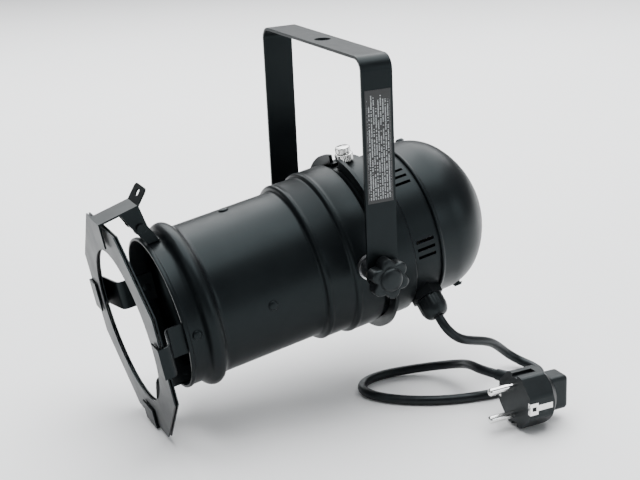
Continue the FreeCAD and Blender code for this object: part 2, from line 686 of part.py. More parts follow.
def dome_form(inset, start):
    """The dome's turned form from a start station: parallel part, shoulder arc and crown arc."""
    centre_r = DOME_R - DOME_SHOULDER
    shoulder = DOME_SHOULDER - inset
    join = math.atan2(DOME_CROWN - DOME_DEPTH, centre_r)
    crown_y = DOME_SPRING + DOME_DEPTH - DOME_CROWN

    def on_shoulder(angle):
        return (centre_r + shoulder * math.cos(angle), DOME_SPRING + shoulder * math.sin(angle))

    def on_crown(angle):
        reach = DOME_CROWN - inset
        return (reach * math.cos(angle), crown_y + reach * math.sin(angle))

    top = math.pi / 2
    edges = [
        line((0, start), (DOME_R - inset, start)),
        line((DOME_R - inset, start), (DOME_R - inset, DOME_SPRING)),
        arc(on_shoulder(0), on_shoulder(join / 2), on_shoulder(join)),
        arc(on_shoulder(join), on_crown((join + top) / 2), on_crown(top)),
        line(on_crown(top), (0, start)),
    ]
    return turned_outline(edges)


def dome_cap():
    shape = dome_form(0.0, DOME_START).cut(dome_form(WALL, DOME_START - 1.0))
    for angle in (DOME_SCREW_ANGLE, DOME_SCREW_ANGLE + 180):
        hole = rod(DOME_SCREW_R, V(0, DOME_SCREW_STATION, BAND_R - 14),
                   V(0, DOME_SCREW_STATION, BAND_R + 4))
        shape = shape.cut(around(hole, angle))
    return shape


def dome_screws():
    screws = []
    seat = dome_radius(DOME_SCREW_STATION - DOME_SCREW_HEAD_R)
    for angle in (DOME_SCREW_ANGLE, DOME_SCREW_ANGLE + 180):
        y = DOME_SCREW_STATION
        shank = rod(DOME_SCREW_R, V(0, y, seat - 10), V(0, y, seat))
        head = Part.makeCone(DOME_SCREW_HEAD_R, DOME_SCREW_HEAD_R - 1.3, 2.0, V(0, y, seat), V(0, 0, 1))
        screws.append(around(shank.fuse(head), angle))
    return group(screws)


STRAP_STATION = HOLDER_START + HOLDER_LENGTH


def holder_strap():
    """Bent cross strap inside the dome; the dome screws hold its two curved ends."""
    half = STRAP_WIDTH / 2
    back = STRAP_STATION + STRAP_THICK
    bar = block((-half, STRAP_STATION, -DOME_R), (half, back, DOME_R))
    inside = dome_form(WALL, DOME_START)
    ends = block((-half, back - STRAP_TAB, -DOME_R), (half, back, DOME_R))
    ends = ends.common(inside.cut(dome_form(WALL + STRAP_THICK, DOME_START - 1.0)))
    shape = bar.common(inside).fuse(ends)
    for side in (-1, 1):
        shape = shape.cut(rod(DOME_SCREW_R, V(0, DOME_SCREW_STATION, side * (DOME_R - 12)),
                              V(0, DOME_SCREW_STATION, side * (DOME_R + 2))))
    for z in (-HOLDER_SCREW_SPACING / 2, HOLDER_SCREW_SPACING / 2):
        shape = shape.cut(rod(HOLDER_SCREW_R, V(0, STRAP_STATION - 2, z), V(0, back + 2, z)))
    shape = shape.cut(rod(EARTH_SCREW_R, V(0, STRAP_STATION - 2, EARTH_SCREW_AT),
                          V(0, back + 2, EARTH_SCREW_AT)))
    return around(shape.removeSplitter(), DOME_SCREW_ANGLE)


def earth_screw():
    """Earthing screw through the strap, with the wire's ring tag under its head."""
    front = STRAP_STATION
    shank = rod(EARTH_SCREW_R, V(0, front - 1, EARTH_SCREW_AT),
                V(0, front + STRAP_THICK + 3, EARTH_SCREW_AT))
    tag = rod(EARTH_SCREW_R + 2.4, V(0, front - 0.8, EARTH_SCREW_AT), V(0, front, EARTH_SCREW_AT))
    head = rod(EARTH_SCREW_R + 1.8, V(0, front - 3.0, EARTH_SCREW_AT), V(0, front - 0.8, EARTH_SCREW_AT))
    return around(shank.fuse(tag).fuse(head), DOME_SCREW_ANGLE)


HOLDER_DEPTH = CAP_LENGTH + 4.0


def lampholder():
    """Ceramic E27 lampholder."""
    shape = Part.makeCylinder(HOLDER_R, HOLDER_LENGTH, V(0, HOLDER_START, 0), V(0, 1, 0))
    shape = round_edges(shape, 3.0, lambda e: abs(e.CenterOfMass.y - HOLDER_START) < 1e-6)
    shape = shape.cut(Part.makeCylinder(CAP_R + HOLDER_GAP + HOLDER_SHELL, HOLDER_DEPTH + 1,
                                        V(0, HOLDER_START - 1, 0), V(0, 1, 0)))
    for z in (-HOLDER_SCREW_SPACING / 2, HOLDER_SCREW_SPACING / 2):
        hole = rod(HOLDER_SCREW_R, V(0, STRAP_STATION - 8, z), V(0, STRAP_STATION + 1, z))
        shape = shape.cut(around(hole, DOME_SCREW_ANGLE))
    return shape


def holder_shell():
    """Brass thread shell of the lampholder, with its closed end."""
    outer = CAP_R + HOLDER_GAP + HOLDER_SHELL
    start = HOLDER_START + 3.0
    end = HOLDER_START + HOLDER_DEPTH
    shape = ring(outer, CAP_R + HOLDER_GAP, start, end - start)
    return shape.fuse(ring(outer, 6.0, end - HOLDER_SHELL, HOLDER_SHELL)).removeSplitter()


def holder_screws():
    screws = []
    for z in (-HOLDER_SCREW_SPACING / 2, HOLDER_SCREW_SPACING / 2):
        back = STRAP_STATION + STRAP_THICK
        shank = rod(HOLDER_SCREW_R, V(0, STRAP_STATION - 7, z), V(0, back, z))
        head = rod(3.4, V(0, back, z), V(0, back + 2.2, z))
        screws.append(around(shank.fuse(head), DOME_SCREW_ANGLE))
    return group(screws)


# ---- lamp -----------------------------------------------------------------------------------
def lamp_reflector():
    """Aluminised glass bowl of the lamp."""
    rim = LAMP_FACE + LAMP_RIM
    outer = [(LAMP_R, rim - 4), (LAMP_R, rim), (LAMP_NECK_R + 12, LAMP_NECK - 19), (LAMP_NECK_R, LAMP_NECK - 8)]
    g = LAMP_GLASS
    edges = [
        line((LAMP_R - g, rim - 4), outer[0]),
        line(outer[0], outer[1]),
        arc(outer[1], (LAMP_R - 8.5, rim + 18), outer[2]),
        line(outer[2], outer[3]),
        line(outer[3], (LAMP_NECK_R, LAMP_NECK)),
        line((LAMP_NECK_R, LAMP_NECK), (CAP_R - 0.4, LAMP_NECK)),
        line((CAP_R - 0.4, LAMP_NECK), (CAP_R - 0.4, LAMP_NECK - g)),
        line((CAP_R - 0.4, LAMP_NECK - g), (LAMP_NECK_R - g, LAMP_NECK - g)),
        line((LAMP_NECK_R - g, LAMP_NECK - g), (LAMP_NECK_R - g, LAMP_NECK - 8)),
        line((LAMP_NECK_R - g, LAMP_NECK - 8), (LAMP_NECK_R + 12 - g, LAMP_NECK - 20)),
        arc((LAMP_NECK_R + 12 - g, LAMP_NECK - 20), (LAMP_R - 8.5 - g, rim + 17), (LAMP_R - g, rim)),
        line((LAMP_R - g, rim), (LAMP_R - g, rim - 4)),
    ]
    return turned_outline(edges)


def crowned_arc(radius, station, bulge):
    """Arc from a rim to the axis, centred on the axis and bulging to the front."""
    crown = (radius ** 2 + bulge ** 2) / (2 * bulge)
    centre = station - bulge + crown
    half = math.asin(radius / crown) / 2
    return arc((radius, station), (crown * math.sin(half), centre - crown * math.cos(half)), (0, station - bulge))


def lamp_lens():
    """Slightly domed front glass of the lamp."""
    rim = LAMP_FACE + LAMP_RIM - 4
    front = rim - LENS_EDGE
    inner = LAMP_R - LENS_LAND
    edges = [
        line((LAMP_R, rim), (LAMP_R, front)),
        crowned_arc(LAMP_R, front, LENS_BULGE),
        line((0, front - LENS_BULGE), (0, rim - LENS_BULGE)),
        crowned_arc(inner, rim, LENS_BULGE),
        line((inner, rim), (LAMP_R, rim)),
    ]
    return turned_outline(edges)


def lamp_cap():
    """E27 screw cap with its insulator and centre contact."""
    start = LAMP_NECK
    end = start + 2.0 + CAP_LENGTH
    return turned([
        (0, start), (CAP_R + 2.4, start), (CAP_R + 2.4, start + 1.4), (CAP_R, start + 1.6),
        (CAP_R, end - 5), (CAP_R - 4, end - 1), (4.6, end - 0.6), (4.2, end), (0, end),
    ])


# ---- thumb screw ----------------------------------------------------------------------------
THUMB_HOLE_R = 4.2
THUMB_SEAT = COLLAR_R + MOVING_GAP + 0.4


def thumb_screw():
    """Knurled two-step screw that clamps the rear housing."""
    y = THUMB_STATION
    shape = rod(THUMB_SHANK_R, V(0, y, SPIGOT_R - 4.8), V(0, y, THUMB_SEAT + 1))
    shape = shape.fuse(rod(THUMB_R, V(0, y, THUMB_SEAT), V(0, y, THUMB_SEAT + THUMB_LOW)))
    top = THUMB_SEAT + THUMB_LOW
    shape = shape.fuse(rod(THUMB_TOP_R, V(0, y, top), V(0, y, top + THUMB_HIGH)))
    return shape.removeSplitter()


def thumb_nut():
    """Rivet nut in the tube's spigot that takes the thumb screw."""
    y = THUMB_STATION
    inside = SPIGOT_R - WALL
    shape = rod(THUMB_HOLE_R, V(0, y, inside - NUT_HEIGHT), V(0, y, SPIGOT_R - 0.2))
    shape = shape.fuse(rod(NUT_ACROSS / 2, V(0, y, inside - NUT_HEIGHT), V(0, y, inside - 0.5)))
    skin = ring(SPIGOT_R + 5, SPIGOT_R - WALL, y - 12, 24)
    collar = rod(THUMB_HOLE_R, V(0, y, inside - 1), V(0, y, SPIGOT_R - 0.2))
    shape = shape.cut(skin).fuse(collar)
    return shape.cut(rod(THUMB_SHANK_R + 0.06, V(0, y, inside - 8), V(0, y, SPIGOT_R + 4)))


# ---- cable gland and wiring -----------------------------------------------------------------
def hexagon(across, z, height, y):
    corner = across / 2 / math.cos(math.radians(30))
    corners = []
    for i in range(7):
        a = math.radians(60 * i)
        corners.append(V(corner * math.cos(a), y + corner * math.sin(a), z))
    return Part.Face(Part.makePolygon(corners)).extrude(V(0, 0, height))


def gland_body():
    """Gland body: a hexagon against the band and a thread through its hole."""
    y = GLAND_STATION
    shape = hexagon(GLAND_HEX, BAND_R - 1.5, GLAND_BASE + 1.5, y)
    shape = shape.cut(Part.makeCylinder(BAND_R, 60, V(0, y - 30, 0), V(0, 1, 0)))
    shape = shape.fuse(rod(GLAND_THREAD_R, V(0, y, BAND_R - 8), V(0, y, BAND_R + 1)))
    bore = rod(CORD_R + 0.4, V(0, y, BAND_R - 10), V(0, y, BAND_R + 20))
    return around(shape.cut(bore).removeSplitter(), GLAND_ANGLE)


def gland_cap():
    """Domed clamping cap of the gland."""
    start = BAND_R + GLAND_BASE
    height = GLAND_REACH - start
    outline = [V(CORD_R + 0.4, 0, start), V(GLAND_CAP_R, 0, start), V(GLAND_CAP_R, 0, start + height * 0.55),
               V(GLAND_CAP_R - 1.0, 0, start + height * 0.8), V(GLAND_TIP_R, 0, start + height),
               V(CORD_R, 0, start + height), V(CORD_R, 0, start + height - 4),
               V(CORD_R + 0.4, 0, start + height - 4), V(CORD_R + 0.4, 0, start)]
    shape = Part.Face(Part.makePolygon(outline)).revolve(V(0, 0, 0), V(0, 0, 1), 360)
    shape.translate(V(0, GLAND_STATION, 0))
    return around(shape, GLAND_ANGLE)


def gland_locknut():
    y = GLAND_STATION
    corner = LOCKNUT_R / math.cos(math.radians(30))
    seat = math.sqrt((BAND_R - WALL) ** 2 - corner ** 2)
    shape = hexagon(LOCKNUT_R * 2, seat - LOCKNUT_THICK, LOCKNUT_THICK, y)
    shape = shape.cut(rod(GLAND_THREAD_R, V(0, y, seat - 10), V(0, y, seat + 4)))
    return around(shape, GLAND_ANGLE)


def terminal_block():
    """Two-way terminal block screwed to the front of the strap."""
    low = HOLDER_R + 2.0
    body = block((-TERMINAL[0] / 2, STRAP_STATION - TERMINAL[1], -low - TERMINAL[2]),
                 (TERMINAL[0] / 2, STRAP_STATION, -low))
    for x in (-TERMINAL[0] / 4, TERMINAL[0] / 4):
        body = body.cut(rod(WIRE_R + 0.1, V(x, STRAP_STATION - TERMINAL[1] / 2, -low - TERMINAL[2] - 1),
                            V(x, STRAP_STATION - TERMINAL[1] / 2, -low + 1)))
    return around(body, DOME_SCREW_ANGLE + 180)


def wire(index):
    """One insulated core from the gland's inner end to a place beside the strap."""
    place = (index - 1) * WIRE_SPREAD
    start = around(Part.Vertex(place, GLAND_STATION, BAND_R - 9.5), GLAND_ANGLE).Point
    radius, station, angle = WIRE_ENDS[index]
    end = around(Part.Vertex(0, station, radius), angle).Point
    half = start.add(end) * 0.5
    out = V(half.x, 0, half.z).normalize() * 3.0
    bend = half.add(out).add(V(0, -4.0, 0))
    path = Part.Wire([Part.Arc(start, bend, end).toShape()])
    tangent = path.Edges[0].tangentAt(path.Edges[0].FirstParameter)
    section = Part.Wire([Part.makeCircle(WIRE_R, start, tangent)])
    return path.makePipeShell([section], True, False)


# ---- cord -----------------------------------------------------------------------------------
CORD_POINTS = [
    (58.9, 54.7, -191.4),
    (60.6, 58.6, -195.6),
    (60.4, 64.0, -199.3),
    (58.8, 72.0, -202.6),
    (55.2, 83.0, -206.6),
    (50.2, 94.0, -212.0),
    (45.6, 103.5, -219.5),
    (44.0, 111.5, -227.0),
    (47.5, 119.0, -232.4),
    (56.0, 123.5, -234.1),
    (66.0, 123.0, -234.1),
    (74.5, 117.5, -234.1),
    (79.5, 107.5, -234.1),
    (81.0, 93.0, -234.1),
    (79.5, 74.0, -234.1),
    (75.0, 52.0, -234.1),
    (66.0, 32.0, -234.1),
    (54.0, 16.0, -234.1),
    (41.0, 6.0, -234.1),
    (28.5, 4.0, -234.1),
    (19.0, 11.0, -234.1),
    (15.0, 25.0, -234.1),
    (16.5, 41.0, -233.9),
    (23.0, 56.0, -232.2),
    (34.0, 67.0, -228.6),
    (48.0, 71.5, -223.4),
    (62.0, 70.0, -218.6),
]
EXIT_RUN = 5.5
ENTRY_RUN = 13.0
BOOT_ALONG = 17.0
BOOT_DIRECTION = V(0.915, 0.404, 0)


def cord_route():
    """The cord's points from the gland to the plug's boot, and the boot's outer end."""
    start = can_point(*gland_place(GLAND_REACH))
    leave = can_point(*gland_place(GLAND_REACH + EXIT_RUN))
    boot = V(PLUG_FACE[0] - PLUG_FLATS / 2 * 0.98, PLUG_FACE[1] + BOOT_ALONG, PLUG_FACE[2] + 2.0)
    end = boot.sub(BOOT_DIRECTION * BOOT_LENGTH)
    arrive = end.sub(BOOT_DIRECTION * ENTRY_RUN)
    return [start, leave] + [V(*p) for p in CORD_POINTS] + [arrive, end], boot


def gland_place(radius):
    a = math.radians(GLAND_ANGLE)
    return radius * math.sin(a), GLAND_STATION, radius * math.cos(a)


def rounded_path(points):
    """Straight runs joined by tangent arcs, each as large as its two runs allow."""
    share = 0.45
    edges = []
    at = points[0]
    radii = []
    for i in range(1, len(points) - 1):
        p = points[i]
        back = points[i - 1].sub(p)
        ahead = points[i + 1].sub(p)
        trim = share * min(back.Length, ahead.Length)
        back.normalize()
        ahead.normalize()
        turn = math.pi - back.getAngle(ahead)
        radius = trim / math.tan(turn / 2)
        radii.append(radius)
        a = p.add(back * trim)
        b = p.add(ahead * trim)
        inward = back.add(ahead).normalize()
        middle = p.add(inward * (radius / math.cos(turn / 2) - radius))
        edges.append(Part.LineSegment(at, a).toShape())
        edges.append(Part.Arc(a, middle, b).toShape())
        at = b
    edges.append(Part.LineSegment(at, points[-1]).toShape())
    return Part.Wire(edges), radii


def cord():
    points, _ = cord_route()
    path, radii = rounded_path(points)
    direction = points[1].sub(points[0])
    section = Part.Wire([Part.makeCircle(CORD_R, points[0], direction)])
    shape = path.makePipeShell([section], True, False)
    ideal = math.pi * CORD_R ** 2 * path.Length
    print("cord length %.1f  volume ratio %.4f" % (path.Length, shape.Volume / ideal))
    print("cord arc radii", " ".join("%.0f" % r for r in radii))
    runs = [a.sub(b).Length for a, b in zip(points, points[1:])]
    print("cord runs", " ".join("%.0f" % r for r in runs))
    for p in (points[0], points[1], points[-2], points[-1]):
        print("cord end point %.1f %.1f %.1f" % (p.x, p.y, p.z))
    return shape


# ---- plug -----------------------------------------------------------------------------------
def plug_point(x, along, z):
    """A place on the plug: along runs from its face to its back."""
    return V(PLUG_FACE[0] + x, PLUG_FACE[1] + along, PLUG_FACE[2] + z)


def plug_body():
    """Two-pole earthed plug moulding with side entry and a rear grip."""
    shape = Part.makeCylinder(PLUG_R, PLUG_BODY, plug_point(0, 0, 0), V(0, 1, 0))
    flats = polygon_plate(PLUG_FLATS / 2 / math.cos(math.radians(22.5)), 8, 22.5, -1, PLUG_BODY + 2)
    flats.translate(plug_point(0, 0, 0))
    shape = shape.common(flats)
    back = PLUG_FACE[1] + PLUG_BODY
    cone = Part.makeCone(PLUG_R + PLUG_BODY - 5.5, PLUG_R - 5.5, PLUG_BODY, plug_point(0, 0, 0), V(0, 1, 0))
    shape = shape.common(cone)
    length, width, height = PLUG_GRIP
    low = plug_point(-width / 2, PLUG_BODY - 4, -height / 2)
    grip = Part.makeBox(width, length + 4, height, low)
    end = PLUG_FACE[1] + PLUG_BODY + length
    grip = round_edges(grip, 3.0, lambda e: abs(e.CenterOfMass.y - end) < 1e-6 or
                       abs(e.Vertexes[0].Point.y - e.Vertexes[-1].Point.y) > 5)
    shape = shape.fuse(grip)
    _, boot = cord_route()
    start = boot.sub(BOOT_DIRECTION * BOOT_LENGTH)
    shape = shape.fuse(Part.makeCone(CORD_R + 0.6, BOOT_R, BOOT_LENGTH + 3, start, BOOT_DIRECTION))
    for side in (-1, 1):
        hole = rod(PLUG_ROOT_R, plug_point(0, -2, side * PLUG_PIN_SPACING / 2),
                   plug_point(0, 10, side * PLUG_PIN_SPACING / 2))
        shape = shape.cut(hole)
    for side in (-1, 1):
        shape = shape.cut(earth_contact(side))
        clear = plug_block(side, (PLUG_FLATS / 2 - EARTH_THICK, PLUG_FLATS / 2 + 2), (-1, EARTH_LENGTH), EARTH_WIDTH)
        shape = shape.cut(clear)
    for side in (-1, 1):
        groove = plug_block(1, (-2.6, 2.6), (-1, GUIDE_LENGTH), 2 * GUIDE_DEPTH)
        groove.translate(V(0, 0, side * PLUG_FLATS / 2))
        shape = shape.cut(groove)
    return shape


def plug_pins():
    pins = []
    for side in (-1, 1):
        z = side * PLUG_PIN_SPACING / 2
        pin = rod(PLUG_PIN_R, plug_point(0, -PLUG_PIN_LENGTH, z), plug_point(0, 0, z))
        pin = pin.fuse(rod(PLUG_ROOT_R, plug_point(0, -1, z), plug_point(0, 10, z)))
        tip = PLUG_FACE[1] - PLUG_PIN_LENGTH
        pins.append(round_edges(pin, 1.6, lambda e: abs(e.CenterOfMass.y - tip) < 1e-6))
    return group(pins)


def plug_block(side, across, along, height):
    """A box on one side of the plug, given as distances from its axis and from its face."""
    low, high = sorted(side * a for a in across)
    start = plug_point(low, along[0], -height / 2)
    return Part.makeBox(high - low, along[1] - along[0], height, start)


def earth_contact(side):
    """Spring strip in the plug's side, with its wider formed head at the face."""
    face = PLUG_FLATS / 2
    strip = plug_block(side, (face - EARTH_THICK, face), (0, EARTH_LENGTH), EARTH_WIDTH)
    head = plug_block(side, (face - 2.2, face + 0.5), (0, EARTH_HEAD), EARTH_WIDTH + 4.0)
    eye = plug_block(side, (face - 4, face + 2), (1.6, EARTH_HEAD - 1.6), 2.6)
    return strip.fuse(head).cut(eye)


def earth_contacts():
    return group([earth_contact(side) for side in (-1, 1)])


# ---- nodes ----------------------------------------------------------------------------------
def build():
    nodes = {}
    nodes["yoke"] = yoke()
    nodes["rating_label"] = label_film()
    nodes["can_tube"] = set_can(can_tube())
    nodes["tube_rivets"] = set_can(tube_rivets())
    names = {90.0: "clip_right", 180.0: "clip_bottom", 270.0: "clip_left"}
    for angle in CLIP_ANGLES:
        nodes[names[angle]] = set_can(around(clip(), angle))
    nodes["clip_rivets"] = set_can(clip_rivets())
    nodes["latch_bracket"] = set_can(ear_bracket())
    nodes["latch_bracket_rivet"] = set_can(ear_rivet())
    nodes["latch"] = set_can(latch())
    nodes["latch_pin"] = set_can(latch_pin())
    nodes["latch_spring"] = set_can(latch_spring())
    nodes["filter_frame_front"] = set_can(frame_sheet(FRAME_FRONT))
    nodes["filter_frame_back"] = set_can(frame_sheet(FRAME_BACK - FRAME_SHEET))
    nodes["filter_frame_rivets"] = set_can(frame_rivets())
    for side, name in ((1, "right"), (-1, "left")):
        spacer, washer = pivot_stack(side)
        nodes["pivot_insert_" + name] = set_can(pivot_insert(side))
        nodes["pivot_spacer_" + name] = set_can(spacer)
        nodes["friction_washer_" + name] = set_can(washer)
        nodes["tilt_stud_" + name] = set_can(tilt_stud(side))
        nodes["tilt_knob_" + name] = set_can(tilt_knob(side))
        nodes["knob_washer_" + name] = set_can(knob_washer(side))
    nodes["thumb_screw"] = set_can(thumb_screw())
    nodes["thumb_screw_nut"] = set_can(thumb_nut())
    nodes["housing_collar"] = set_can(housing_collar())
    nodes["vent_band"] = set_can(vent_band())
    nodes["dome_cap"] = set_can(dome_cap())
    nodes["dome_screws"] = set_can(dome_screws())
    nodes["holder_strap"] = set_can(holder_strap())
    nodes["lampholder"] = set_can(lampholder())
    nodes["holder_shell"] = set_can(holder_shell())
    nodes["holder_screws"] = set_can(holder_screws())
    nodes["earth_screw"] = set_can(earth_screw())
    nodes["lamp_reflector"] = set_can(lamp_reflector())
    nodes["lamp_lens"] = set_can(lamp_lens())
    nodes["lamp_cap"] = set_can(lamp_cap())
    nodes["gland_body"] = set_can(gland_body())
    nodes["gland_cap"] = set_can(gland_cap())
    nodes["gland_locknut"] = set_can(gland_locknut())
    nodes["terminal_block"] = set_can(terminal_block())
    for index, name in enumerate(("wire_live", "wire_neutral", "wire_earth")):
        nodes[name] = set_can(wire(index))
    nodes["cord"] = cord()
    nodes["plug_body"] = plug_body()
    nodes["plug_pins"] = plug_pins()
    nodes["plug_earth_contacts"] = earth_contacts()
    return nodes


def main():
    os.makedirs("parts", exist_ok=True)
    for name, shape in build().items():
        shape.exportStep("parts/%s.step" % name)
        box = shape.BoundBox
        print("%-24s solids %d  valid %s  z %.1f..%.1f" % (name, len(shape.Solids), shape.isValid(),
                                                        box.ZMin, box.ZMax))


main()
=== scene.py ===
import json
import math
import bpy
import bmesh
from mathutils import Matrix, Vector


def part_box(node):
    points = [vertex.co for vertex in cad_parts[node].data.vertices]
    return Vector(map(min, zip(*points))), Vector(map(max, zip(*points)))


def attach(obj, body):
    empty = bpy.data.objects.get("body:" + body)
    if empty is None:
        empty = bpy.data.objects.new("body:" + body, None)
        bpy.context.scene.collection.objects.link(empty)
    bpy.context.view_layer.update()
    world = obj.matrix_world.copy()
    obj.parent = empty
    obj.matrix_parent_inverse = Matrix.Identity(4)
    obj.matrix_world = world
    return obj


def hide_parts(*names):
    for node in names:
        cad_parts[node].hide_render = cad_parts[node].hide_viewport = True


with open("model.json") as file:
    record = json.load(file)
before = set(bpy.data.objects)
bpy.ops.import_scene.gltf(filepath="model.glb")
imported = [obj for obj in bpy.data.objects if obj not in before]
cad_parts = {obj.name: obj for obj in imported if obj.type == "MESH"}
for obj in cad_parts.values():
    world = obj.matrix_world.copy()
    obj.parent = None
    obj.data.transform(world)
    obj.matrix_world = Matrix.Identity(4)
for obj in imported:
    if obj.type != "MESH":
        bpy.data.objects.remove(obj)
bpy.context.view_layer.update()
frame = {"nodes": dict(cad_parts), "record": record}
NODES = frame["nodes"]

# ---- sizes shared by several pieces, in millimetres -----------------------------------------
PIVOT_DROP = 137.0
PIVOT_RISE = 4.0
REST_TILT = 9.5
FLOOR_Z = -237.3
CAN_FRAME = (Matrix.Translation((0, 0, -PIVOT_DROP)) @ Matrix.Rotation(math.radians(REST_TILT), 4, "X")
             @ Matrix.Translation((0, 0, -PIVOT_RISE)))
TO_METRES = Matrix.Scale(0.001, 4)
KNOB_FACE = 75.25
THUMB_STATION = 21.4
GLAND_ANGLE = 134.0
GLAND_STATION = 43.4
LATCH_PIN_STATION = -125.5
LATCH_PIN_HEIGHT = 62.5
TURN_STEPS = 144
SHADE_LIMIT = math.radians(32.0)


# ---- camera ---------------------------------------------------------------------------------
def add_camera():
    azimuth, elevation, roll = (math.radians(a) for a in (65.29, 18.52, 2.68))
    forward = Vector((-math.sin(azimuth) * math.cos(elevation), math.cos(azimuth) * math.cos(elevation),
                      -math.sin(elevation)))
    level = Vector((math.cos(azimuth), math.sin(azimuth), 0.0))
    upright = level.cross(forward)
    right = level * math.cos(roll) - upright * math.sin(roll)
    up = upright * math.cos(roll) + level * math.sin(roll)
    data = bpy.data.cameras.new("camera")
    data.sensor_width = 36.0
    data.lens = 73.73
    data.clip_start = 0.02
    data.clip_end = 50.0
    camera = bpy.data.objects.new("camera", data)
    place = Matrix((right, up, -forward)).transposed().to_4x4()
    place.translation = Vector((0.75222, -0.35436, 0.14381))
    camera.matrix_world = place
    bpy.context.scene.collection.objects.link(camera)
    bpy.context.scene.camera = camera


add_camera()


# ---- material tools -------------------------------------------------------------------------
class Shader:
    """A material's node tree, with short calls for the nodes that its recipes use."""

    def __init__(self, name):
        self.material = bpy.data.materials.new(name)
        self.material.use_nodes = True
        self.tree = self.material.node_tree
        self.base = self.tree.nodes["Principled BSDF"]

    def node(self, kind, **settings):
        made = self.tree.nodes.new(kind)
        for key, value in settings.items():
            setattr(made, key, value)
        return made

    def link(self, source, target):
        self.tree.links.new(source, target)

    def set(self, **values):
        for key, value in values.items():
            self.base.inputs[key.replace("_", " ")].default_value = value

    def coords(self):
        return self.node("ShaderNodeTexCoord").outputs["Object"]

    def noise(self, scale, detail=3.0, rough=0.5):
        made = self.node("ShaderNodeTexNoise")
        made.inputs["Scale"].default_value = scale
        made.inputs["Detail"].default_value = detail
        made.inputs["Roughness"].default_value = rough
        self.link(self.coords(), made.inputs["Vector"])
        return made.outputs["Fac"]

    def spread(self, value, low, high, to_low=0.0, to_high=1.0):
        made = self.node("ShaderNodeMapRange")
        made.inputs["From Min"].default_value = low
        made.inputs["From Max"].default_value = high
        made.inputs["To Min"].default_value = to_low
        made.inputs["To Max"].default_value = to_high
        self.link(value, made.inputs["Value"])
        return made.outputs["Result"]

    def math(self, operation, a, b=None):
        made = self.node("ShaderNodeMath", operation=operation)
        for place, value in enumerate((a, b)):
            if value is None:
                continue
            if isinstance(value, (int, float)):
                made.inputs[place].default_value = value
            else:
                self.link(value, made.inputs[place])
        return made.outputs["Value"]

    def mix(self, factor, a, b):
        made = self.node("ShaderNodeMix", data_type="RGBA")
        for place, value in ((0, factor), (6, a), (7, b)):
            if isinstance(value, tuple):
                made.inputs[place].default_value = (*value, 1.0)
            elif isinstance(value, float):
                made.inputs[place].default_value = value
            else:
                self.link(value, made.inputs[place])
        return made.outputs[2]

    def colour(self, source):
        self.link(source, self.base.inputs["Base Color"])

    def roughness(self, source):
        self.link(source, self.base.inputs["Roughness"])

    def bump(self, height, distance, strength=1.0):
        made = self.node("ShaderNodeBump")
        made.inputs["Distance"].default_value = distance
        made.inputs["Strength"].default_value = strength
        self.link(height, made.inputs["Height"])
        self.link(made.outputs["Normal"], self.base.inputs["Normal"])


def worn_group():
    """Shared mask of rubbed convex edges, broken up by noise."""
    group = bpy.data.node_groups.new("rubbed_edges", "ShaderNodeTree")
    group.interface.new_socket("Mask", in_out="OUTPUT", socket_type="NodeSocketFloat")
    nodes = group.nodes
    geometry = nodes.new("ShaderNodeNewGeometry")
    coords = nodes.new("ShaderNodeTexCoord")
    noise = nodes.new("ShaderNodeTexNoise")
    noise.inputs["Scale"].default_value = 260.0
    noise.inputs["Detail"].default_value = 4.0
    convex = nodes.new("ShaderNodeMapRange")
    convex.inputs["From Min"].default_value = 0.56
    convex.inputs["From Max"].default_value = 0.66
    broken = nodes.new("ShaderNodeMapRange")
    broken.inputs["From Min"].default_value = 0.45
    broken.inputs["From Max"].default_value = 0.62
    both = nodes.new("ShaderNodeMath")
    both.operation = "MULTIPLY"
    out = nodes.new("NodeGroupOutput")
    link = group.links.new
    link(coords.outputs["Object"], noise.inputs["Vector"])
    link(geometry.outputs["Pointiness"], convex.inputs["Value"])
    link(noise.outputs["Fac"], broken.inputs["Value"])
    link(convex.outputs["Result"], both.inputs[0])
    link(broken.outputs["Result"], both.inputs[1])
    link(both.outputs["Value"], out.inputs["Mask"])
    return group


RUBBED = worn_group()


def painted(name, base, pale, rough, grain=1500.0, height=0.00002):
    """Satin powder coat: fine orange peel, faint cloudy changes of sheen, slightly rubbed edges."""
    s = Shader(name)
    cloud = s.noise(22.0, 3.0)
    peel = s.noise(grain, 2.0, 0.5)
    rubbed = s.node("ShaderNodeGroup", node_tree=RUBBED).outputs["Mask"]
    tone = s.mix(s.spread(cloud, 0.35, 0.7), base, tuple(v * 1.25 for v in base))
    s.colour(s.mix(s.math("MULTIPLY", rubbed, 0.35), tone, pale))
    s.roughness(s.spread(s.noise(60.0, 4.0), 0.3, 0.7, rough - 0.03, rough + 0.05))
    s.set(IOR=1.5, Specular_IOR_Level=0.18, Specular_Tint=(0.78, 0.96, 1.0, 1.0))
    s.bump(peel, height, 0.5)
    return s.material


def moulded(name, base, rough, grain=2600.0, height=0.00003):
    """Moulded plastic with a fine spark-eroded grain."""
    s = Shader(name)
    tone = s.mix(s.spread(s.noise(35.0, 3.0), 0.35, 0.7), base, tuple(v * 1.4 for v in base))
    rubbed = s.node("ShaderNodeGroup", node_tree=RUBBED).outputs["Mask"]
    s.colour(s.mix(s.math("MULTIPLY", rubbed, 0.3), tone, tuple(v * 3 + 0.03 for v in base)))
    s.roughness(s.spread(s.noise(90.0, 3.0), 0.3, 0.7, rough - 0.05, rough + 0.05))
    s.set(IOR=1.48, Specular_IOR_Level=0.26, Specular_Tint=(0.82, 0.97, 1.0, 1.0))
    s.bump(s.noise(grain, 2.0), height, 0.6)
    return s.material


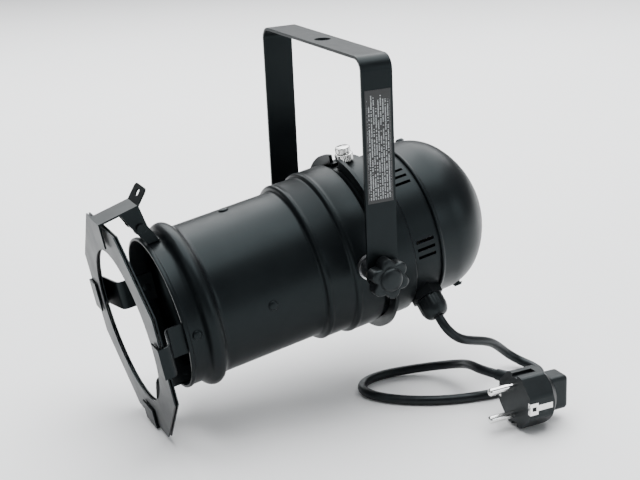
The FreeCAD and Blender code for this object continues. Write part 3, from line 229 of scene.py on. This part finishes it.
def plated(name, base, rough, grain=900.0, height=0.00001):
    """Plated metal with a fine grain and small stains."""
    s = Shader(name)
    stain = s.spread(s.noise(120.0, 5.0, 0.6), 0.45, 0.75)
    s.colour(s.mix(stain, base, tuple(v * 0.78 for v in base)))
    s.roughness(s.spread(s.noise(240.0, 4.0), 0.3, 0.7, rough - 0.04, rough + 0.08))
    s.set(Metallic=1.0)
    s.bump(s.noise(grain, 2.0), height, 0.4)
    return s.material


def cord_sheath(name):
    """Soft PVC sheath: matt, fine grained, with paler handling marks."""
    s = Shader(name)
    marks = s.spread(s.noise(180.0, 4.0, 0.6), 0.5, 0.75)
    s.colour(s.mix(marks, (0.004, 0.004, 0.005), (0.009, 0.0095, 0.011)))
    s.roughness(s.spread(s.noise(70.0, 3.0), 0.3, 0.7, 0.34, 0.46))
    s.set(IOR=1.5, Specular_IOR_Level=0.3, Specular_Tint=(0.84, 0.97, 1.0, 1.0))
    s.bump(s.noise(1300.0, 3.0), 0.00003, 0.5)
    return s.material


def printed_film(name, low, high):
    """Dark film with rows of small unreadable print strokes."""
    s = Shader(name)
    split = s.node("ShaderNodeSeparateXYZ")
    s.link(s.coords(), split.inputs["Vector"])
    across = s.spread(split.outputs["Y"], low[1], high[1])
    along = s.spread(split.outputs["Z"], low[2], high[2])
    column = s.math("MULTIPLY", across, 11.0)
    letters = s.math("MULTIPLY", along, 84.0)
    lane = s.math("FRACT", column)
    in_row = s.math("MULTIPLY", s.math("GREATER_THAN", lane, 0.28), s.math("LESS_THAN", lane, 0.74))
    in_row = s.math("MULTIPLY", in_row, s.math("LESS_THAN", s.math("FRACT", letters), 0.72))
    length = s.node("ShaderNodeTexWhiteNoise", noise_dimensions="1D")
    s.link(s.math("FLOOR", column), length.inputs["W"])
    row_end = s.spread(length.outputs["Value"], 0.0, 1.0, 0.84, 0.97)
    joined = s.node("ShaderNodeCombineXYZ")
    s.link(s.math("FLOOR", column), joined.inputs["X"])
    s.link(s.math("FLOOR", letters), joined.inputs["Y"])
    pick = s.node("ShaderNodeTexWhiteNoise", noise_dimensions="2D")
    s.link(joined.outputs["Vector"], pick.inputs["Vector"])
    inked = s.math("GREATER_THAN", pick.outputs["Value"], 0.2)
    fine = s.node("ShaderNodeTexVoronoi")
    fine.inputs["Scale"].default_value = 1900.0
    s.link(s.coords(), fine.inputs["Vector"])
    stroke = s.math("GREATER_THAN", fine.outputs["Distance"], 0.33)
    margin = s.math("MULTIPLY", s.math("GREATER_THAN", along, 0.03), s.math("LESS_THAN", along, row_end))
    side = s.math("MULTIPLY", s.math("GREATER_THAN", across, 0.06), s.math("LESS_THAN", across, 0.94))
    printable = s.math("MULTIPLY", margin, side)
    ink = s.math("MULTIPLY", s.math("MULTIPLY", in_row, inked), s.math("MULTIPLY", stroke, printable))
    film = s.mix(s.spread(s.noise(90.0, 3.0), 0.35, 0.7), (0.006, 0.0065, 0.0075), (0.010, 0.011, 0.012))
    s.colour(s.mix(s.math("MULTIPLY", ink, 0.8), film, (0.50, 0.53, 0.54)))
    s.roughness(s.spread(s.noise(200.0, 2.0), 0.3, 0.7, 0.36, 0.44))
    s.bump(s.noise(800.0, 2.0), 0.00001, 0.3)
    return s.material


def lamp_glass_material(name):
    """Clear pressed glass with a faint stipple."""
    s = Shader(name)
    s.set(Transmission_Weight=0.9, IOR=1.47)
    s.colour(s.mix(s.spread(s.noise(60.0, 3.0), 0.4, 0.7), (0.92, 0.94, 0.95), (0.86, 0.90, 0.92)))
    s.roughness(s.spread(s.noise(140.0, 3.0), 0.3, 0.7, 0.05, 0.12))
    cells = s.node("ShaderNodeTexVoronoi", feature="SMOOTH_F1")
    cells.inputs["Scale"].default_value = 260.0
    s.link(s.coords(), cells.inputs["Vector"])
    s.bump(cells.outputs["Distance"], 0.0006, 0.5)
    return s.material


def floor_material(name):
    s = Shader(name)
    s.colour(s.mix(s.spread(s.noise(3.0, 2.0), 0.3, 0.7), (0.90, 0.90, 0.90), (0.92, 0.92, 0.92)))
    s.roughness(s.spread(s.noise(40.0, 2.0), 0.3, 0.7, 0.75, 0.85))
    s.set(Specular_IOR_Level=0.2)
    return s.material


MATERIALS = {
    "black_paint": painted("black_powder_coat", (0.0030, 0.0036, 0.0042), (0.06, 0.06, 0.065), 0.37),
    "zinc_steel": plated("zinc_plate", (0.58, 0.59, 0.60), 0.32),
    "friction_fibre": moulded("pressed_fibre", (0.030, 0.026, 0.022), 0.8, 1200.0, 0.00006),
    "black_plastic": moulded("black_moulded_plastic", (0.0040, 0.0044, 0.0050), 0.42),
    "bright_nickel": plated("bright_nickel_plate", (0.80, 0.80, 0.79), 0.16),
    "ceramic": moulded("steatite_ceramic", (0.74, 0.71, 0.64), 0.55, 900.0),
    "lamp_mirror": plated("mirror_coating", (0.86, 0.86, 0.87), 0.10),
    "lamp_glass": lamp_glass_material("pressed_glass"),
    "brass": plated("drawn_brass", (0.72, 0.55, 0.27), 0.28),
    "cord_pvc": cord_sheath("cord_sheath"),
    "terminal_plastic": moulded("terminal_plastic", (0.62, 0.62, 0.58), 0.5),
    "wire_brown": moulded("core_brown", (0.10, 0.035, 0.015), 0.45),
    "wire_blue": moulded("core_blue", (0.02, 0.07, 0.28), 0.45),
    "wire_green": moulded("core_green", (0.05, 0.20, 0.03), 0.45),
    "label_film": printed_film("printed_label_film", *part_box("rating_label")),
}


# ---- CAD nodes that stay in sight -----------------------------------------------------------
EDGE_WIDTHS = {
    "yoke": 0.5, "filter_frame_front": 0.2, "filter_frame_back": 0.2, "clip_right": 0.35, "clip_left": 0.35,
    "clip_bottom": 0.35, "latch": 0.35, "latch_bracket": 0.3, "housing_collar": 0.3, "vent_band": 0.2,
    "gland_body": 0.5, "plug_body": 0.8, "plug_pins": 0.3, "knob_washer_right": 0.2,
    "knob_washer_left": 0.2, "plug_earth_contacts": 0.2,
    "latch_pin": 0.3, "dome_screws": 0.3, "latch_bracket_rivet": 0.3,
}


def dress_nodes():
    """Give every CAD node its slot's material, smooth faces and softened edges."""
    for row in frame["record"]["subparts"]:
        node = NODES[row["node"]]
        mesh = node.data
        mesh.materials.clear()
        mesh.materials.append(MATERIALS[row["material_slot"]])
        if "custom_normal" in mesh.attributes:
            mesh.attributes.remove(mesh.attributes["custom_normal"])
        weld = node.modifiers.new("weld", "WELD")
        weld.merge_threshold = 0.000002
        width = EDGE_WIDTHS.get(row["node"])
        if width:
            merge = node.modifiers.new("merge_flats", "DECIMATE")
            merge.decimate_type = "DISSOLVE"
            merge.angle_limit = math.radians(0.6)
            bevel = node.modifiers.new("edges", "BEVEL")
            bevel.width = width / 1000
            bevel.segments = 2
            bevel.limit_method = "ANGLE"
            bevel.angle_limit = math.radians(40)
            bevel.use_clamp_overlap = True
        for face in mesh.polygons:
            face.use_smooth = True
        shade_by_angle(node)
        if width:
            weighted = node.modifiers.new("flat_faces_flat", "WEIGHTED_NORMAL")
            weighted.keep_sharp = True
            weighted.weight = 80


def shade_by_angle(node):
    """Live shading split at hard edges, by a small geometry node group shared by all pieces."""
    made = node.modifiers.new("shading", "NODES")
    made.node_group = SHADING


def shading_group():
    group = bpy.data.node_groups.new("shade_by_angle", "GeometryNodeTree")
    group.interface.new_socket("Geometry", in_out="INPUT", socket_type="NodeSocketGeometry")
    group.interface.new_socket("Geometry", in_out="OUTPUT", socket_type="NodeSocketGeometry")
    nodes = group.nodes
    entry = nodes.new("NodeGroupInput")
    out = nodes.new("NodeGroupOutput")
    angle = nodes.new("GeometryNodeInputMeshEdgeAngle")
    limit = nodes.new("FunctionNodeCompare")
    limit.data_type = "FLOAT"
    limit.operation = "LESS_EQUAL"
    limit.inputs[1].default_value = SHADE_LIMIT
    smooth = nodes.new("GeometryNodeSetShadeSmooth")
    smooth.domain = "EDGE"
    faces = nodes.new("GeometryNodeSetShadeSmooth")
    faces.domain = "FACE"
    link = group.links.new
    link(entry.outputs[0], faces.inputs["Geometry"])
    link(faces.outputs["Geometry"], smooth.inputs["Geometry"])
    link(angle.outputs["Unsigned Angle"], limit.inputs[0])
    link(limit.outputs["Result"], smooth.inputs["Shade Smooth"])
    link(smooth.outputs["Geometry"], out.inputs[0])
    return group


SHADING = shading_group()
dress_nodes()


# ---- new pieces -----------------------------------------------------------------------------
def piece_from(bm, name, body, slot, replaces):
    """Finish a bmesh drawn in the can's frame, in millimetres, as a piece that rides on a body."""
    bmesh.ops.remove_doubles(bm, verts=bm.verts, dist=0.0005)
    bmesh.ops.recalc_face_normals(bm, faces=bm.faces)
    mesh = bpy.data.meshes.new(name)
    bm.to_mesh(mesh)
    bm.free()
    mesh.transform(TO_METRES @ CAN_FRAME)
    for face in mesh.polygons:
        face.use_smooth = True
    mesh.materials.append(MATERIALS[slot])
    made = bpy.data.objects.new(name, mesh)
    bpy.context.scene.collection.objects.link(made)
    shade_by_angle(made)
    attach(made, body)
    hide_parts(*replaces)
    return made


def loft(bm, rings):
    """Skin rings of points, each with the same count, and cap the two ends."""
    rows = [[bm.verts.new(p) for p in ring] for ring in rings]
    count = len(rows[0])
    for a, b in zip(rows, rows[1:]):
        for i in range(count):
            j = (i + 1) % count
            bm.faces.new((a[i], a[j], b[j], b[i]))
    bm.faces.new(rows[0])
    bm.faces.new(rows[-1])


def stacked(bm, profile, place, steps, shape=None):
    """Rings of (radius, height) about the piece's own Z axis; shape may change a radius by its angle."""
    rings = []
    for r, z in profile:
        ring = []
        for i in range(steps):
            a = 2 * math.pi * i / steps
            reach = shape(r, z, a) if shape else r
            ring.append(place @ Vector((reach * math.cos(a), reach * math.sin(a), z)))
        rings.append(ring)
    loft(bm, rings)


def around(angle, station):
    """Placing, in the can's frame, of a piece that stands out from the can's axis."""
    return Matrix.Rotation(math.radians(angle), 4, "Y") @ Matrix.Translation((0, station, 0))


def smooth_corners(points):
    """Closed outline of (radius, station, rounding) corners: each becomes a short curve of that rounding."""
    result = []
    count = len(points)
    for i, (r, s, rounding) in enumerate(points):
        here = Vector((r, s))
        if not rounding:
            result.append(here)
            continue
        back = Vector(points[i - 1][:2]) - here
        ahead = Vector(points[(i + 1) % count][:2]) - here
        trim = min(rounding, 0.49 * back.length, 0.49 * ahead.length)
        start = here + back.normalized() * trim
        end = here + ahead.normalized() * trim
        for k in range(5):
            t = k / 4
            result.append(start * (1 - t) ** 2 + here * 2 * t * (1 - t) + end * t ** 2)
    return result


def turned(outline, name, body, slot, replaces):
    """A closed outline of (radius, station) turned about the can's axis."""
    bm = bmesh.new()
    verts = [bm.verts.new((p[0], p[1], 0.0)) for p in outline]
    for i, v in enumerate(verts):
        bm.edges.new((v, verts[(i + 1) % len(verts)]))
    bmesh.ops.spin(bm, geom=bm.verts[:] + bm.edges[:], cent=(0, 0, 0), axis=(0, 1, 0),
                   angle=2 * math.pi, steps=TURN_STEPS, use_merge=True)
    return piece_from(bm, name, body, slot, replaces)


WALL = 1.0
HEM_END = -123.0


def add_can_shell():
    """Spun tube: turned hem at the mouth, bead, two flared sleeves, shoulder and spigot."""
    outer = [(50.0, -125.8, 0.4), (50.8, -125.6, 0.5), (50.8, -123.4, 0.5), (50.0, -122.9, 0.6),
             (50.0, -114.2, 3.2),
             (54.0, -111.4, 3.4), (55.4, -107.6, 3.4), (54.0, -103.8, 3.4), (50.0, -101.0, 3.2),
             (50.0, -31.4, 1.5),
             (53.0, -30.2, 1.2), (53.9, -28.6, 1.0), (53.4, -26.8, 1.5), (53.4, -11.9, 1.2),
             (55.4, -10.9, 1.0),
             (56.0, -9.2, 0.8), (55.6, -7.4, 1.4), (55.6, 9.0, 0.8), (53.5, 11.0, 0.8), (53.5, 32.0, 0.3)]
    inner = [(r - WALL, s, rounding) for r, s, rounding in outer[:1:-1] if s > HEM_END]
    inner.append((49.0, -125.8, 0.4))
    return turned(smooth_corners(outer + inner), "can_shell", "can", "black_paint", replaces=("can_tube",))


def add_dome():
    """Spun dome with its sheet thickness, from its parallel part to the crown."""
    radius, shoulder, depth, spring = 53.0, 32.0, 41.0, 66.5
    crown = ((radius - shoulder) ** 2 + depth ** 2 - shoulder ** 2) / (2 * (depth - shoulder))
    join = math.atan2(crown - depth, radius - shoulder)

    def skin(inset):
        points = [(radius - inset, 53.5), (radius - inset, 54.0)]
        if not inset:
            points = [(52.4, 53.5), (53.5, 53.6), (53.9, 54.2), (53.8, 54.9), (53.2, 55.6), (53.0, 56.6)]
        points.append((radius - inset, spring))
        for k in range(1, 13):
            a = join * k / 12
            points.append((radius - shoulder + (shoulder - inset) * math.cos(a),
                          spring + (shoulder - inset) * math.sin(a)))
        for k in range(1, 13):
            a = join + (math.pi / 2 - join) * k / 12
            points.append(((crown - inset) * math.cos(a),
                          spring + depth - crown + (crown - inset) * math.sin(a)))
        return points

    outside = skin(0.0)
    return turned(outside + skin(WALL)[::-1], "dome_shell", "rear_housing", "black_paint",
                  replaces=("dome_cap",))


def add_knob(name, side):
    """Star knob with six deep lobes and a large domed hub."""
    def lobed(r, z, a):
        if r <= 8.2:
            return r
        return r * (0.74 + 0.26 * (0.5 + 0.5 * math.cos(6 * a)) ** 0.55)

    profile = [(12.6, 0.0), (13.2, 0.5), (13.4, 1.2), (13.4, 7.6), (13.1, 8.5), (12.2, 9.2), (10.8, 9.4),
               (8.8, 9.2),
               (8.2, 9.1), (7.6, 9.4), (7.3, 10.2), (6.7, 11.1), (5.4, 11.7), (3.4, 12.0), (1.2, 12.05)]
    bm = bmesh.new()
    turn = Matrix.Translation((side * KNOB_FACE, 0, PIVOT_RISE)) @ Matrix.Rotation(math.radians(side * 90),
                              4, "Y")
    stacked(bm, profile, turn, steps=96, shape=lobed)
    piece_from(bm, "star_knob_" + name, "knob_" + name, "black_plastic", replaces=("tilt_knob_" + name,))


def add_thumb_screw():
    """Knurled clamping screw in two steps."""
    def knurled(r, z, a):
        return r + (0.28 * math.cos(30 * a) if 4.6 < r and (57.0 < z < 60.9 or 62.2 < z < 65.5) else 0.0)

    profile = [(2.4, 48.8), (2.45, 56.4), (5.3, 56.4), (5.7, 56.8), (5.8, 57.1), (5.8, 60.8), (5.7, 61.2),
               (5.2, 61.5),
               (4.0, 61.6), (3.9, 62.0), (4.6, 62.1), (4.75, 62.3), (4.75, 65.4), (4.6, 65.8), (4.1, 66.1),
               (1.0, 66.15)]
    bm = bmesh.new()
    stacked(bm, profile, around(0, THUMB_STATION), steps=120, shape=knurled)
    piece_from(bm, "knurled_thumb_screw", "thumb_screw", "bright_nickel", replaces=("thumb_screw",))


def add_gland_cap():
    """Clamping cap with grip flutes and a rounded nose."""
    def fluted(r, z, a):
        return r - (0.32 * (0.5 - 0.5 * math.cos(18 * a)) ** 2 if 58.8 < z < 66.5 and r > 8.5 else 0.0)

    profile = [(8.6, 58.0), (9.1, 58.3), (9.3, 58.9), (9.3, 65.4), (9.0, 67.0), (8.4, 68.8), (7.5, 70.4),
               (6.4, 71.4),
               (5.2, 71.9), (3.9, 72.0), (3.4, 71.7), (3.15, 70.8)]
    bm = bmesh.new()
    stacked(bm, profile, around(GLAND_ANGLE, GLAND_STATION), steps=108, shape=fluted)
    piece_from(bm, "fluted_gland_cap", "rear_housing", "black_plastic", replaces=("gland_cap",))


def add_rivets(name, angles, station, head, tail, node):
    """Domed rivet heads outside the tube, with their set tails inside."""
    bm = bmesh.new()
    for angle in angles:
        place = around(angle, station)
        stacked(bm, [(head, 49.9), (head, 50.3), (head * 0.93, 50.7), (head * 0.74, 51.05),
                     (head * 0.45, 51.25),
                     (head * 0.12, 51.3)], place, steps=32)
        stacked(bm, [(1.2, tail), (2.4, tail + 0.2), (2.9, tail + 0.7), (2.0, tail + 1.2),
                     (2.0, 49.5)], place, steps=24)
    piece_from(bm, name, "can", "black_paint", replaces=(node,))


def add_latch_spring():
    """Torsion spring wound on the latch pin."""
    bm = bmesh.new()
    wire, coil, turns, reach = 0.52, 3.55, 7.0, 3.9
    rings = []
    steps = int(turns * 22)
    for k in range(steps + 1):
        t = k / steps
        a = 2 * math.pi * turns * t
        centre = Vector((-reach + 2 * reach * t, LATCH_PIN_STATION + coil * math.cos(a),
                         LATCH_PIN_HEIGHT + coil * math.sin(a)))
        outward = Vector((0, math.cos(a), math.sin(a)))
        ring = []
        for j in range(8):
            b = 2 * math.pi * j / 8
            ring.append(centre + outward * wire * math.cos(b) + Vector((1, 0, 0)) * wire * math.sin(b))
        rings.append(ring)
    loft(bm, rings)
    piece_from(bm, "latch_coil_spring", "can", "zinc_steel", replaces=("latch_spring",))


add_can_shell()
add_dome()
add_knob("right", 1)
add_knob("left", -1)
add_thumb_screw()
add_gland_cap()
add_rivets("tube_rivet_heads", (-6.0, 90.0, 180.0, 270.0), -66.6, 3.3, 46.5, "tube_rivets")
add_rivets("clip_rivet_heads", (90.0, 180.0, 270.0), -118.3, 3.2, 46.2, "clip_rivets")
add_latch_spring()


# ---- cord -----------------------------------------------------------------------------------
CORD_RADIUS = 0.0031
CORD_ROUTE = [
    (51.8, 51.7, -183.1), (55.7, 52.4, -186.9), (58.9, 54.7, -191.4), (60.6, 58.6, -195.6),
    (60.4, 64.0, -199.3),
    (58.8, 72.0, -202.6), (55.2, 83.0, -206.6), (50.2, 94.0, -212.0), (45.6, 103.5, -219.5),
    (44.0, 111.5, -227.0),
    (47.5, 119.0, -232.4), (56.0, 123.5, -234.1), (66.0, 123.0, -234.1), (74.5, 117.5, -234.1),
    (79.5, 107.5, -234.1),
    (81.0, 93.0, -234.1), (79.5, 74.0, -234.1), (75.0, 52.0, -234.1), (66.0, 32.0, -234.1),
    (54.0, 16.0, -234.1),
    (41.0, 6.0, -234.1), (28.5, 4.0, -234.1), (19.0, 11.0, -234.1), (15.0, 25.0, -234.1),
    (16.5, 41.0, -233.9),
    (23.0, 56.0, -232.2), (34.0, 67.0, -228.6), (48.0, 71.5, -223.4), (62.0, 70.0, -218.6),
    (76.1, 68.7, -216.4),
    (88.0, 73.9, -216.4),
]


def add_cord():
    data = bpy.data.curves.new("mains_cord", "CURVE")
    data.dimensions = "3D"
    data.bevel_depth = CORD_RADIUS
    data.bevel_resolution = 6
    data.resolution_u = 10
    data.use_fill_caps = True
    spline = data.splines.new("NURBS")
    spline.points.add(len(CORD_ROUTE) - 1)
    for point, place in zip(spline.points, CORD_ROUTE):
        point.co = (*(v / 1000 for v in place), 1.0)
    spline.order_u = 3
    spline.use_endpoint_u = True
    data.materials.append(MATERIALS["cord_pvc"])
    made = bpy.data.objects.new("mains_cord", data)
    bpy.context.scene.collection.objects.link(made)
    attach(made, "rear_housing")
    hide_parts("cord")


add_cord()


# ---- floor and lights -----------------------------------------------------------------------
def add_floor():
    bm = bmesh.new()
    half = 6.0
    z = (FLOOR_Z - 0.1) / 1000
    bm.faces.new([bm.verts.new(p) for p in ((-half, -half, z), (half, -half, z), (half, half, z),
                 (-half, half, z))])
    mesh = bpy.data.meshes.new("floor")
    bm.to_mesh(mesh)
    bm.free()
    mesh.materials.append(floor_material("pale_floor"))
    floor = bpy.data.objects.new("floor", mesh)
    bpy.context.scene.collection.objects.link(floor)


def add_light(name, place, target, size, power, tint=(1.0, 1.0, 1.0)):
    data = bpy.data.lights.new(name, "AREA")
    data.shape = "RECTANGLE"
    data.size, data.size_y = size
    data.energy = power
    data.color = tint
    lamp = bpy.data.objects.new(name, data)
    lamp.location = place
    lamp.rotation_euler = (Vector(target) - Vector(place)).to_track_quat("-Z", "Y").to_euler()
    bpy.context.scene.collection.objects.link(lamp)


def add_world():
    world = bpy.data.worlds.new("studio")
    world.use_nodes = True
    world.node_tree.nodes["Background"].inputs["Color"].default_value = (0.93, 0.96, 1.0, 1.0)
    world.node_tree.nodes["Background"].inputs["Strength"].default_value = 0.22
    bpy.context.scene.world = world


add_floor()
add_light("back_box", (-1.25, 0.6, 1.0), (0.0, 0.0, -0.15), (2.4, 1.1), 42, (0.98, 0.99, 1.0))
add_light("overhead_box", (-0.25, 0.15, 1.9), (-0.05, 0.0, -0.2), (2.8, 2.4), 122, (0.98, 0.99, 1.0))
add_light("left_box", (0.5, -1.5, 0.9), (0, -0.05, -0.14), (0.9, 0.7), 3, (0.94, 0.98, 1.0))
add_light("right_box", (1.35, 1.15, 0.35), (0.05, 0.1, -0.15), (0.9, 0.7), 7, (0.94, 0.98, 1.0))
add_world()
